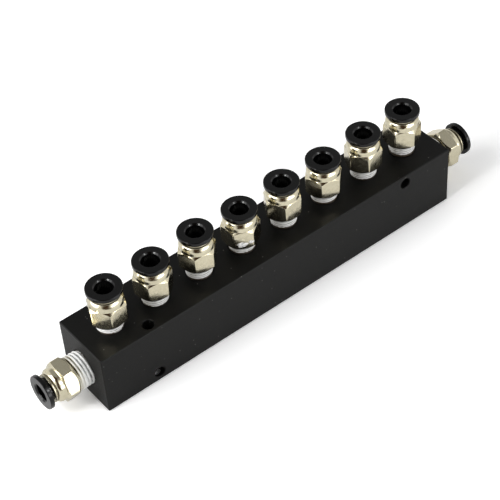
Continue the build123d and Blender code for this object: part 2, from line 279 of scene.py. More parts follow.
def retainer_bush(fitting):
    """Bush pressed into the body's mouth, with a flat rounded rim above it."""
    core = fitting.core
    foot = fitting.mouth - core.claw_depth + core.claw_sheet
    rim_base = fitting.mouth + core.rim_lift
    lip = fitting.mouth - core.guide_length
    outline = [
        (core.bead_room_r, foot, 0.05),
        (core.barrel_r, foot, 0.05),
        (core.barrel_r, rim_base, 0.03),
        (core.rim_r, rim_base, 0.08),
        (core.rim_r, fitting.rim_top, 0.2),
        (core.guide_r, fitting.rim_top, 0.2),
        (core.guide_r, lip, 0.05),
        (core.bead_room_r, lip, 0.05),
    ]
    # Painted shade in the groove below this line, and a little under half as much above it, on the rim that the
    # flange shades
    shade_line = rim_base + 0.12
    return turned_piece(f"{fitting.name}_retainer_bush", fitting, outline, grime_below=shade_line)


def push_ring(fitting):
    """Release ring: rounded flange, chamfered tube mouth, sleeve, snap bead and thinned nose, where it rests."""
    size, core = fitting.size, fitting.core
    face = fitting.ring_face
    flange = face - core.flange_thick
    mouth = fitting.mouth - fitting.ring_sink
    bead = mouth - core.guide_length - core.stop_gap
    nose = mouth - core.claw_depth + core.claw_sheet + core.stop_gap + size.ring_gap
    outline = [
        (core.tube_bore_r, nose, 0.08),
        (core.tube_bore_r + core.nose_wall, nose, 0.08),
        (core.sleeve_r, bead - core.bead_length, 0.05),
        (core.bead_r, bead - core.bead_length / 2, 0.08),
        (core.bead_r, bead, 0.04),
        (core.sleeve_r, bead, 0.03),
        (core.sleeve_r, flange, 0.12),
        (core.flange_r, flange, core.flange_edge),
        (core.flange_r, face, core.flange_edge),
        (core.tube_bore_r + core.lead_in, face, 0.08),
        (core.tube_bore_r, face - core.lead_in, 0.15),
    ]
    return turned_piece(f"{fitting.name}_push_ring", fitting, outline, columns=144, steps=6)


def sealed_thread(fitting):
    """Taper thread under its coat of sealant. The radius is the taper line, crest + height x taper, less the ridge
    depth times w, where w = (0.5 + 0.5 cos(2 pi (height / pitch - turn)))^p dips once per pitch and climbs one
    pitch per turn. A few low waves in angle and height stand for the coat's uneven thickness."""
    size = fitting.size
    columns, rows_per_pitch = 160, 18
    face, top = fitting.bar_face, fitting.base - size.coat_gap
    # The fine rows start just below the bar's face. The ridges fade in there and fade out under the hexagon
    start, fade_in, fade_out = face - 0.35, 0.3, 0.25
    hidden = np.linspace(-size.engaged, face - 0.6, 4)
    shown = np.arange(start, top, size.pitch / rows_per_pitch)
    height = np.concatenate([hidden, shown, [top]])[:, None]
    angle = round_columns(columns)[None, :]
    turn = angle / (2 * math.pi)
    valley = (0.5 + 0.5 * np.cos(2 * math.pi * (height / size.pitch - turn))) ** size.valley_power
    # Sealant has run down and filled the last three grooves on the lower side, within 38 degrees of its middle and
    # less and less up to 86
    low_side, grooves = math.radians(240), 3.2
    lower = np.clip(1.4 * np.cos(angle - low_side) - 0.1, 0, 1)
    valley = valley * (1 - size.filled * lower * np.clip((height - top) / size.pitch + grooves, 0, 1))
    fade = np.clip((height - start) / fade_in, 0, 1) * np.clip((top - height) / fade_out, 0, 1)
    # Each coat has its own lumps, because their phase comes from where the fitting stands
    phase = fitting.origin.sum() * 4000
    # Each wave's count round the axis, radians per millimetre along it, height and multiple of the phase
    waves = ((3, 2.1, 1.0, 1), (7, -3.7, 0.8, 2), (17, 6.3, 0.6, 3), (31, -11.0, 0.5, 5))
    lumps = sum(
        high * np.sin(around * angle + along * height + shift * phase) for around, along, high, shift in waves
    )
    lump_height, mean, thinnest = 0.016, 1.6, 0.01
    dip = size.ridge * (valley * fade + 0.5 * (1 - fade)) + lump_height * (mean + lumps * fade)
    outer = size.crest_r + height * TAPER - np.maximum(dip, thinnest)
    # The coat's upper end rounds in to just outside the body: each row's rise above it and share of the way in
    root = size.crest_r - size.root_depth + 0.02
    inner = root + height[-1] * TAPER
    cap = ((0.05, 0.25), (0.06, 0.6), (0.03, 1.0))
    cap_r = [outer[-1:] * (1 - inward) + inner * inward for _, inward in cap]
    foot_r = np.full((1, columns), root - size.engaged * TAPER)
    radius = np.concatenate([outer, *cap_r, foot_r])
    heights = np.concatenate([height, [[top + rise] for rise, _ in cap], [[-size.engaged]]]) * np.ones((1, columns))
    # Bare metal shows in the last turns before the hexagon, first at the bottom of the grooves
    rubbed, rub_in = top - size.bare_turns * size.pitch, 0.8 * size.pitch
    bare = np.clip((height - rubbed) / rub_in + 0.12 * lumps, 0, 1) * np.clip(0.25 + 1.2 * valley, 0, 1)
    # The coat stops short of the bar with a ragged edge, and the metal below it is painted dark: painted shade and
    # a painted reflection of the black bar
    flakes = np.sin(43 * angle + 2 * phase) * np.sin(19 * angle + phase)
    edge, blend = face + COAT_EDGES.get(fitting.name, 0) + 0.07 * lumps + 0.1 * flakes, 0.12
    grime = np.clip((edge - height) / blend, 0, 1)
    # The bare grooves on one side are painted dark too: painted shade in the grooves
    grime = np.maximum(grime, bare * valley * (0.5 + 0.5 * np.cos(angle)))
    # The valley feature also sets the grooves' grey in the material: partly the coat being thinner, partly painted
    # shade
    features = {"valley": valley * fade, "bare": bare, "grime": grime}
    features = {key: np.concatenate([values, np.zeros((4, columns))]) for key, values in features.items()}
    return ring_mesh(f"{fitting.name}_sealed_thread", fitting, radius, heights, angle[0], features)


def sealant_lump(fitting, name, across, height, reach, rise):
    """A lump of sealant left on the hexagon's fourth flat: half sunk in it, reach[0] to each side, reach[1] up and
    down and rise high. Its reach is stretched by 1 + 0.12 sin(3a + 1) + 0.08 sin(5a) + 0.06 sin(9a + 4b) and its
    rise by 1 + 0.25 sin(2a + 3b) at angle a round its middle and b from its pole. Rows run from pole to pole, and
    each pole is one point. The coat is thin and grey in folds."""
    normal = math.radians(HEX_TURNS[fitting.name] + 30 + 3 * 60)
    out = math.cos(normal) * fitting.across + math.sin(normal) * fitting.side
    sideways = math.cos(normal) * fitting.side - math.sin(normal) * fitting.across
    centre = out * fitting.size.across_flats / 2 + sideways * across + fitting.out * height
    rows, columns = 9, 28
    a = np.arange(columns)[None, :] * 2 * math.pi / columns
    tilt = (np.arange(1, rows + 1) * math.pi / (rows + 1))[:, None]
    stretch = 1 + 0.12 * np.sin(3 * a + 1) + 0.08 * np.sin(5 * a) + 0.06 * np.sin(9 * a + 4 * tilt)
    u = np.sin(tilt) * np.cos(a) * stretch * reach[0]
    v = np.sin(tilt) * np.sin(a) * stretch * reach[1]
    w = np.cos(tilt) * rise * (1 + 0.25 * np.sin(2 * a + 3 * tilt)) * np.ones_like(a)
    shell = u[..., None] * sideways + v[..., None] * fitting.out + w[..., None] * out
    points = np.concatenate([[out * rise], shell.reshape(-1, 3), [-out * rise]]) + centre
    points = fitting.origin + points * MM
    i, j = np.meshgrid(np.arange(rows - 1), np.arange(columns), indexing="ij")
    on = (j + 1) % columns
    quads = 1 + np.stack([i * columns + j, (i + 1) * columns + j, (i + 1) * columns + on, i * columns + on], -1)
    # The poles are the first point and the one after the last row
    last = 1 + (rows - 1) * columns
    pairs = [(at, (at + 1) % columns) for at in range(columns)]
    faces = quads.reshape(-1, 4).tolist()
    faces += [[0, 1 + at, 1 + to] for at, to in pairs]
    faces += [[last + columns, last + to, last + at] for at, to in pairs]
    mesh = bpy.data.meshes.new(name)
    mesh.from_pydata(points.tolist(), [], faces)
    mesh.polygons.foreach_set("use_smooth", np.ones(len(faces), bool))
    # Painted shade: grey bands in the lump's folds, carried as its valley feature
    folds = np.clip(0.3 + 0.5 * np.sin(4 * a + 3 * tilt), 0, 1).ravel()
    mesh.attributes.new("valley", "FLOAT", "POINT").data.foreach_set("value", np.concatenate([[0.2], folds, [0.2]]))
    return show(name, mesh)


# Finishes


def linear(colour):
    """sRGB hex, as read off a screen, to the linear light that shaders take."""
    value = np.array([int(colour[at : at + 2], 16) for at in (1, 3, 5)]) / 255
    return tuple(np.where(value <= 0.04045, value / 12.92, ((value + 0.055) / 1.055) ** 2.4).tolist())


def add(tree, kind, settings):
    """Adds a shader node. A setting is a property of the node where it has one of that name, else an input by name
    or number. It takes a plain value, another node's output, or a node, which stands for its first live output.
    By number, Map Range has the limits it reads at 1 and 2 and those it gives at 3 and 4. Mix has its share at 0
    and what it mixes at 6 and 7, or at 2 and 3 for plain numbers."""
    node = tree.nodes.new("ShaderNode" + kind)
    for key, value in settings.items():
        if isinstance(value, bpy.types.Node):
            value = next(output for output in value.outputs if output.enabled)
        if isinstance(key, str) and hasattr(node, key):
            setattr(node, key, value)
        elif isinstance(value, bpy.types.NodeSocket):
            tree.links.new(value, node.inputs[key])
        elif node.inputs[key].type == "RGBA" and len(value) == 3:
            node.inputs[key].default_value = (*value, 1)
        else:
            node.inputs[key].default_value = value
    return node


def material_from(recipe, settings):
    """A material with the name of its recipe, a function that fills the tree from the piece's own coordinates in
    millimetres and gives back the last shader."""
    material = bpy.data.materials.new(recipe.__name__)
    material.use_nodes = True
    tree = material.node_tree
    tree.nodes.clear()
    place = add(tree, "TexCoord", {}).outputs["Object"]
    mm = add(tree, "VectorMath", {"operation": "SCALE", 0: place, "Scale": 1 / MM})
    add(tree, "OutputMaterial", {"Surface": recipe(tree, mm, settings)})
    return material


def black_anodised_aluminium(tree, mm, look):
    """Extruded bar, bead-dulled and dyed black in its oxide layer: a deep satin black with a fine dry grain, a few
    pale specks of dust, and edges that catch the light."""
    # Grain of the etched surface, 0.1 mm across on the real bar, drawn at 0.4 mm so that it shows
    grain = add(tree, "TexNoise", {"Vector": mm, "Scale": 2.5, "Detail": 4.0, "Roughness": 0.7})
    # Handling marks and uneven dye, 8 mm across
    cloud = add(tree, "TexNoise", {"Vector": mm, "Scale": 0.12, "Detail": 4.0, "Roughness": 0.6})
    # Dust: points about 3.5 mm apart in space, seen where one lies within 0.25 mm of the surface
    dust = add(tree, "TexVoronoi", {"Vector": mm, "Scale": 0.28})
    speck = add(tree, "MapRange", {"Value": dust, 1: 0.03, 2: 0.07, 3: 1.0, 4: 0.0})
    faded = tuple(c * 1.6 for c in look.dye)
    tone = add(tree, "Mix", {"data_type": "RGBA", 0: cloud, 6: look.dye, 7: faded})
    spotted = add(tree, "Mix", {"data_type": "RGBA", 0: speck, 6: tone, 7: look.dust})
    rough = add(tree, "MapRange", {"Value": grain, 1: 0.3, 2: 0.7, 3: 0.38, 4: 0.5})
    # Softened edge, 0.06 mm, where the sharp corner was broken before dyeing
    edge = add(tree, "Bevel", {"samples": 6, "Radius": 0.06 * MM})
    bump = add(tree, "Bump", {"Strength": 0.6, "Distance": 0.06 * MM, "Height": grain, "Normal": edge})
    # A low IOR, because the porous dyed oxide mirrors less than a smooth coat does
    return add(tree, "BsdfPrincipled", {"Base Color": spotted, "Roughness": rough, "Normal": bump, "IOR": 1.25})


def nickel_plated_brass(tree, mm, look):
    """Bright nickel on turned brass: warm champagne metal. Turned faces carry rings from the tool, flats the drawn
    bar's lengthwise lines, and both a faint orange peel from the plating."""
    uv = add(tree, "UVMap", {"uv_map": "millimetres"})
    flat = add(tree, "Attribute", {"attribute_name": "flat"}).outputs["Fac"]
    # Tool rings round the piece, 0.1 mm apart on the real one, drawn 0.25 mm apart so that they show
    round_lines = add(tree, "Mapping", {"Vector": uv, "Scale": (0.12, 4.0, 1.0)})
    rings = add(tree, "TexNoise", {"Vector": round_lines, "Scale": 1.0, "Detail": 3.0})
    # Drawing lines along the bar stock, drawn 0.3 mm apart where the real ones are finer
    long_lines = add(tree, "Mapping", {"Vector": uv, "Scale": (3.3, 0.25, 1.0)})
    drawn = add(tree, "TexNoise", {"Vector": long_lines, "Scale": 1.0, "Detail": 4.0})
    lines = add(tree, "Mix", {"data_type": "FLOAT", 0: flat, 2: rings, 3: drawn})
    # Plating waves 1.6 mm across
    peel = add(tree, "TexNoise", {"Vector": mm, "Scale": 0.6, "Detail": 2.0})
    # Stains and fingerprints 1 mm across that dull the shine
    stain = add(tree, "TexNoise", {"Vector": mm, "Scale": 0.9, "Detail": 5.0, "Roughness": 0.65})
    grime = add(tree, "Attribute", {"attribute_name": "grime"}).outputs["Fac"]
    polish = add(tree, "MapRange", {"Value": stain, 1: 0.35, 2: 0.7, 3: 0.1, 4: 0.24})
    rough = add(tree, "Math", {"operation": "MULTIPLY_ADD", "use_clamp": True, 0: grime, 1: 0.5, 2: polish})
    waves = add(tree, "Bump", {"Strength": 0.4, "Distance": 0.06 * MM, "Height": peel})
    bump = add(tree, "Bump", {"Strength": 0.5, "Distance": 0.02 * MM, "Height": lines, "Normal": waves})
    tone = add(tree, "Mix", {"data_type": "RGBA", 0: stain, 6: look.nickel, 7: look.nickel_dull})
    # Painted shade: the groove below the retainer's rim, the mouth's edge and the rim are painted dark and made
    # rougher
    shade_painted = add(tree, "Mix", {"data_type": "RGBA", 0: grime, 6: tone, 7: look.grime})
    return add(
        tree, "BsdfPrincipled", {"Base Color": shade_painted, "Metallic": 1.0, "Roughness": rough, "Normal": bump}
    )


def moulded_black_acetal(tree, mm, look):
    """Acetal release ring from a fine-eroded mould: satin black with a soft grey sheen on its rounded edges."""
    # Mould texture, under 0.1 mm across on the real ring, drawn at 0.35 mm so that it shows
    grain = add(tree, "TexNoise", {"Vector": mm, "Scale": 2.9, "Detail": 3.0, "Roughness": 0.7})
    # Rubbed patches 2.5 mm across
    rub = add(tree, "TexNoise", {"Vector": mm, "Scale": 0.4, "Detail": 4.0})
    rough = add(tree, "MapRange", {"Value": rub, 1: 0.3, 2: 0.7, 3: 0.12, 4: 0.17})
    rubbed = tuple(c * 1.5 for c in look.acetal)
    tone = add(tree, "Mix", {"data_type": "RGBA", 0: rub, 6: look.acetal, 7: rubbed})
    bump = add(tree, "Bump", {"Strength": 0.4, "Distance": 0.02 * MM, "Height": grain})
    # An IOR below acetal's 1.48, because the texture weakens its sheen
    return add(tree, "BsdfPrincipled", {"Base Color": tone, "Roughness": rough, "Normal": bump, "IOR": 1.36})


def white_thread_sealant(tree, mm, look):
    """Fluoropolymer sealing paint dried on the thread: chalky white on the crests, thin and greyer in the grooves,
    slightly lumpy, and rubbed through to the plating near the hexagon."""
    valley = add(tree, "Attribute", {"attribute_name": "valley"}).outputs["Fac"]
    bare = add(tree, "Attribute", {"attribute_name": "bare"}).outputs["Fac"]
    # Lumps 0.25 mm across
    lumps = add(tree, "TexNoise", {"Vector": mm, "Scale": 4.0, "Detail": 4.0, "Roughness": 0.6})
    # Patches 1.5 mm across where the coat in the grooves is thinner or thicker
    patches = add(tree, "TexNoise", {"Vector": mm, "Scale": 0.7, "Detail": 3.0})
    thinness = add(tree, "MapRange", {"Value": patches, 1: 0.35, 2: 0.65, 3: 0.35, 4: 0.85})
    # The grooves' grey is partly the coat being thinner and partly painted shade
    thin_coat_and_shade = add(tree, "Math", {"operation": "MULTIPLY", 0: valley, 1: thinness})
    tone = add(tree, "Mix", {"data_type": "RGBA", 0: thin_coat_and_shade, 6: look.sealant, 7: look.sealant_thin})
    shown = add(tree, "Mix", {"data_type": "RGBA", 0: bare, 6: tone, 7: look.nickel_dull})
    # Painted shade: the bare metal below the coat by the bar and the bare grooves on one side are painted dark
    grime = add(tree, "Attribute", {"attribute_name": "grime"}).outputs["Fac"]
    shade_painted = add(tree, "Mix", {"data_type": "RGBA", 0: grime, 6: shown, 7: look.grime})
    rough = add(tree, "MapRange", {"Value": bare, 3: 0.5, 4: 0.2})
    bump = add(tree, "Bump", {"Strength": 0.5, "Distance": 0.04 * MM, "Height": lumps})
    return add(
        tree,
        "BsdfPrincipled",
        {"Base Color": shade_painted, "Metallic": bare, "Roughness": rough, "Normal": bump, "IOR": 1.4},
    )


def rolled_spring_steel(tree, mm, look):
    """Stainless strip, cold rolled and stamped: cool grey metal with fine rolling lines."""
    # Rolling lines 0.1 mm apart, in streaks of 1.7 mm
    stretched = add(tree, "Mapping", {"Vector": mm, "Scale": (0.6, 9.0, 9.0)})
    lines = add(tree, "TexNoise", {"Vector": stretched, "Scale": 1.0, "Detail": 3.0})
    rough = add(tree, "MapRange", {"Value": lines, 1: 0.3, 2: 0.7, 3: 0.22, 4: 0.34})
    bump = add(tree, "Bump", {"Strength": 0.3, "Distance": 0.01 * MM, "Height": lines})
    return add(
        tree, "BsdfPrincipled", {"Base Color": look.steel, "Metallic": 1.0, "Roughness": rough, "Normal": bump}
    )


def nitrile_rubber(tree, mm, look):
    """Moulded nitrile seal: dull black with a faint bloom in patches of 0.8 mm and a grain of 0.1 mm."""
    bloom = add(tree, "TexNoise", {"Vector": mm, "Scale": 1.2, "Detail": 4.0})
    bloomed = tuple(c * 2 for c in look.rubber)
    tone = add(tree, "Mix", {"data_type": "RGBA", 0: bloom, 6: look.rubber, 7: bloomed})
    grain = add(tree, "TexNoise", {"Vector": mm, "Scale": 9.0, "Detail": 2.0})
    bump = add(tree, "Bump", {"Strength": 0.3, "Distance": 0.01 * MM, "Height": grain})
    return add(tree, "BsdfPrincipled", {"Base Color": tone, "Roughness": 0.6, "Normal": bump, "IOR": 1.52})


# Studio


def direction(azimuth, elevation):
    """Unit vector towards a place seen at an azimuth (0 is in front, along -Y) and an elevation, in degrees."""
    a, e = math.radians(azimuth), math.radians(elevation)
    return Vector((math.sin(a) * math.cos(e), -math.cos(a) * math.cos(e), math.sin(e)))


def patch(tree, facing, towards, inner, outer):
    """1 inside the inner angle from a direction of the sky, 0 outside the outer one, in degrees."""
    near = add(tree, "VectorMath", {"operation": "DOT_PRODUCT", 0: facing, 1: towards})
    least, most = math.cos(math.radians(outer)), math.cos(math.radians(inner))
    return add(tree, "MapRange", {"interpolation_type": "SMOOTHSTEP", "Value": near, 1: least, 2: most})


def slot_mask(tree, facing, azimuth):
    """1 in the tent's open slot, which runs from the floor up past the camera to the top, 0 elsewhere. The slot is
    0.22 to 0.48 wide to each side, as a share of the distance, and ends behind the bar."""
    ahead, aside = (math.sin(azimuth), -math.cos(azimuth), 0.0), (math.cos(azimuth), math.sin(azimuth), 0.0)
    lateral = add(tree, "VectorMath", {"operation": "DOT_PRODUCT", 0: facing, 1: aside})
    forward = add(tree, "VectorMath", {"operation": "DOT_PRODUCT", 0: facing, 1: ahead})
    distance = add(tree, "Math", {"operation": "ABSOLUTE", 0: lateral})
    soft = {"interpolation_type": "SMOOTHSTEP"}
    near = add(tree, "MapRange", {**soft, "Value": distance, 1: 0.22, 2: 0.48, 3: 1.0, 4: 0.0})
    front = add(tree, "MapRange", {**soft, "Value": forward, 1: -0.15, 2: 0.1})
    return add(tree, "Math", {"operation": "MULTIPLY", 0: near, 1: front})


def studio_tent(studio):
    """A white tent round the bar. The camera sees it white and matt pieces are lit by it, mostly from behind the
    bar. Shiny pieces also show its shaded roof, far side and left side, and the slot that it is open at."""
    world = bpy.data.worlds.new("studio_surround")
    world.use_nodes = True
    bpy.context.scene.world = world
    tree = world.node_tree
    tree.nodes.clear()
    facing = add(tree, "TexCoord", {}).outputs["Generated"]
    slot = slot_mask(tree, facing, studio.azimuth)
    roof = patch(tree, facing, (0, 0, 1), 32, 48)
    far_side = patch(tree, facing, direction(BEHIND, 45), 20, 40)
    left_side = patch(tree, facing, direction(-112, 47), 12, 30)
    behind = add(tree, "Math", {"operation": "MAXIMUM", 0: roof, 1: far_side})
    shade = add(tree, "Math", {"operation": "MAXIMUM", 0: behind, 1: left_side})
    white, shaded = (1.0, 1.0, 1.0), (0.4, 0.4, 0.4)
    cloth = add(tree, "Mix", {"data_type": "RGBA", 0: shade, 6: white, 7: shaded})
    mirrored = add(tree, "Mix", {"data_type": "RGBA", 0: slot, 6: cloth, 7: studio.room})
    backward = add(tree, "VectorMath", {"operation": "DOT_PRODUCT", 0: facing, 1: direction(BEHIND, 30)})
    dimmest, brightest = 0.4 * studio.surround, 1.8 * studio.surround
    glow = add(tree, "MapRange", {"Value": backward, 1: -0.3, 2: 1.0, 3: dimmest, 4: brightest})
    light = add(tree, "Background", {"Color": white, "Strength": glow})
    tent = add(tree, "Background", {"Color": mirrored, "Strength": 1.0})
    backdrop = add(tree, "Background", {"Color": white, "Strength": 1.0})
    ray = add(tree, "LightPath", {}).outputs
    shiny = add(tree, "MixShader", {0: ray["Is Glossy Ray"], 1: light, 2: tent})
    clear = add(tree, "Math", {"operation": "MAXIMUM", 0: ray["Is Camera Ray"], 1: ray["Is Transmission Ray"]})
    seen = add(tree, "MixShader", {0: clear, 1: shiny, 2: backdrop})
    add(tree, "OutputWorld", {"Surface": seen})


def seamless_paper(tree, mm, studio):
    """Matt white paper. The camera and clear pieces see it a little paler than it is, so that it reads as white.
    Shiny ones see it darker beside the bar's left end, and as the dark room where it ends in the tent's slot."""
    matt = add(tree, "BsdfDiffuse", {"Color": studio.floor})
    ray = add(tree, "LightPath", {}).outputs
    away = add(tree, "VectorMath", {"operation": "LENGTH", 0: mm})
    outward = add(tree, "VectorMath", {"operation": "NORMALIZE", 0: mm})
    beyond = add(tree, "MapRange", {"interpolation_type": "SMOOTHSTEP", "Value": away, 1: 150.0, 2: 240.0})
    slot = slot_mask(tree, outward, studio.azimuth)
    ended = add(tree, "Math", {"operation": "MULTIPLY", 0: slot, 1: beyond})
    along = add(tree, "SeparateXYZ", {0: mm}).outputs["X"]
    # Painted shade on the paper beside the bar's left end, seen only by shiny pieces
    painted_shade_level = add(tree, "MapRange", {"Value": along, 1: -80.0, 2: -30.0, 3: 0.88, 4: 1.08})
    mirrored = add(tree, "Mix", {"data_type": "RGBA", 0: ended, 6: painted_shade_level, 7: studio.room})
    pale = (1.36, 1.36, 1.36)
    paleness = add(tree, "Mix", {"data_type": "RGBA", 0: ray["Is Glossy Ray"], 6: pale, 7: mirrored})
    seen_white = add(tree, "BsdfDiffuse", {"Color": paleness})
    either = add(tree, "Math", {"operation": "MAXIMUM", 0: ray["Is Camera Ray"], 1: ray["Is Glossy Ray"]})
    direct = add(tree, "Math", {"operation": "MAXIMUM", 0: either, 1: ray["Is Transmission Ray"]})
    return add(tree, "MixShader", {0: direct, 1: matt, 2: seen_white})


def studio_floor(studio):
    """A square of paper on a grid of (x, y, 0), x and y from -3 to 3 metres."""
    half, cells = 3, 6
    x, y = np.meshgrid(*[np.linspace(-half, half, cells + 1)] * 2, indexing="ij")
    points = np.stack([x, y, np.zeros_like(x)], -1).reshape(-1, 3)
    i, j = np.meshgrid(np.arange(cells), np.arange(cells), indexing="ij")
    first = i * (cells + 1) + j
    after = first + cells + 1
    quads = np.stack([first, after, after + 1, first + 1], -1).reshape(-1, 4)
    mesh = bpy.data.meshes.new("studio_floor")
    mesh.from_pydata(points.tolist(), [], quads.tolist())
    mesh.materials.append(material_from(seamless_paper, studio))
    show("studio_floor", mesh)


def studio_lamps(studio):
    """Two soft boxes that face the bar. Each has its cloth, a hotter patch in front of its bulb and a low strip
    that reaches down to the floor."""
    # Elevation in degrees, distance, width and height in metres
    parts = {"soft_box": (30, 0.9, 0.6, 1.0), "bulb": (40, 0.88, 0.15, 0.15), "strip": (12, 0.88, 0.8, 0.25)}
    # Azimuth in degrees and share of the power
    left = {"soft_box": (-104, 0.66), "bulb": (-88, 0.16), "strip": (-104, 0.18)}
    right = {"soft_box": (17, 0.37), "bulb": (17, 0.2), "strip": (17, 0.43)}
    target = Vector((0, 0, 0.02))
    for side, power, rows in (("left", studio.left_lamp, left), ("right", studio.right_lamp, right)):
        for part, (azimuth, portion) in rows.items():
            elevation, reach, width, height = parts[part]
            light = bpy.data.lights.new(f"{side}_{part}", "AREA")
            light.shape = "RECTANGLE"
            light.size, light.size_y, light.energy = width, height, portion * power
            lamp = show(light.name, light)
            lamp.location = direction(azimuth, elevation) * reach
            lamp.rotation_euler = (target - lamp.location).to_track_quat("-Z", "Y").to_euler()


def photo_camera(studio):
    """The camera, on a line from the target and rolled about that line."""
    back = direction(math.degrees(studio.azimuth), math.degrees(studio.elevation))
    right = (-back).cross(Vector((0, 0, 1))).normalized()
    up = right.cross(-back)
    cos, sin = math.cos(studio.roll), math.sin(studio.roll)
    turned = Matrix((right * cos + up * sin, up * cos - right * sin, back)).transposed()
    data = bpy.data.cameras.new("photo_camera")
    data.sensor_width, data.lens, data.clip_start, data.clip_end = 36, studio.lens, 0.01, 20
    camera = show("photo_camera", data)
    camera.matrix_world = Matrix.Translation(Vector(studio.target) + back * studio.distance) @ turned.to_4x4()
    bpy.context.scene.camera = camera


# Settings


def number(name, description, value, **limits):
    """A number setting, with its limits or its unit."""
    return bpy.props.FloatProperty(name=name, description=description, default=value, **limits)


def amount(name, description, value):
    """A number setting from 0 up."""
    return number(name, description, value, min=0)


def share(name, description, value):
    """A setting that runs from none, 0, to full, 1."""
    return number(name, description, value, min=0, max=1)


def millimetres(name, description, value):
    """A size setting in millimetres."""
    return number(name, description, value, min=0, precision=3)


def degrees(name, description, value):
    """An angle setting, given here in degrees."""
    return number(name, description, math.radians(value), subtype="ANGLE")


def colour(name, description, value):
    """A colour setting that starts from an sRGB hex value."""
    return bpy.props.FloatVectorProperty(
        name=name, description=description, subtype="COLOR", size=3, min=0, max=1, default=linear(value)
    )


class ManifoldFinish(bpy.types.PropertyGroup):
    """Colours of the manifold's finishes"""

    dye: colour("Dye", "Black dye in the bar's oxide layer", "#080807")
    dust: colour("Dust", "Specks of dust on the bar", "#5c5c58")
    nickel: colour("Nickel", "Bright nickel plating", "#dcd5c0")
    nickel_dull: colour("Dull nickel", "Nickel plating where it is handled", "#c0b898")
    # Painted shade: put in grooves, on rims and on bare metal by the bar, where shade falls
    grime: colour("Grime", "Oil and dirt in the grooves of the plated pieces", "#3a3021")
    acetal: colour("Acetal", "Release rings", "#040404")
    sealant: colour("Sealant", "Thick sealant on the threads", "#f8f8f6")
    # Partly painted shade: the grooves' grey, where the coat is thinner, and the grey painted in the lumps' folds
    sealant_thin: colour("Thin sealant", "Sealant where the thread shows through", "#33322f")
    steel: colour("Steel", "Grab rings", "#b9b9b4")
    rubber: colour("Rubber", "Seals", "#0b0b0b")


class CartridgeSizes(bpy.types.PropertyGroup):
    """Sizes in millimetres of what every fitting holds, from the retainer's rim down to the tube stop"""

    cartridge_r: millimetres("Cartridge radius", "Bore that holds the retainer", 4.85)
    lip: millimetres("Lip", "Width of the body's mouth", 0.45)
    claw_depth: millimetres("Claw depth", "Mouth to the grab ring's seat", 4.9)
    claw_sheet: millimetres("Claw sheet", "Thickness of the grab ring with its gap", 0.32)
    seal_r: millimetres("Seal radius", "Pocket that holds the seal", 4.4)
    seal_pocket: millimetres("Seal pocket", "Length of the seal's pocket", 3.4)
    socket_r: millimetres("Socket radius", "Bore that takes the tube's end", 3.1)
    tube_socket: millimetres("Tube socket", "Length of the bore that takes the tube's end", 2.7)
    flow_r: millimetres("Flow radius", "Bore that the air passes through", 2.2)
    bead_room_r: millimetres("Bead room radius", "Bore of the retainer below its guide", 4.5)
    barrel_r: millimetres("Barrel radius", "Outside of the retainer", 4.83)
    guide_r: millimetres("Guide radius", "Bore of the retainer that guides the ring", 4.15)
    guide_length: millimetres("Guide length", "Guide bore below the body's mouth", 1.6)
    rim_r: millimetres("Rim radius", "Rim of the retainer", 5.35)
    rim_lift: millimetres("Rim lift", "Groove between the body and the rim", 0.45)
    rim_height: millimetres("Rim height", "Thickness of the rim", 0.5)
    tube_bore_r: millimetres("Ring bore radius", "Release ring's bore", 3.15)
    nose_wall: millimetres("Nose wall", "Wall at the release ring's nose", 0.4)
    sleeve_r: millimetres("Sleeve radius", "Outside of the release ring's sleeve", 4.1)
    bead_r: millimetres("Bead radius", "Snap bead on the sleeve", 4.42)
    bead_length: millimetres("Bead length", "Length of the snap bead", 0.6)
    flange_r: millimetres("Flange radius", "Release ring's flange", 6.45)
    flange_thick: millimetres("Flange thickness", "Release ring's flange", 1.6)
    flange_edge: millimetres("Flange edge", "Rounding of both edges of the flange", 0.3)
    lead_in: millimetres("Lead-in", "Chamfer of the ring's mouth", 0.55)
    stop_gap: millimetres("Stop gap", "Room left at each end of the ring's travel", 0.1)


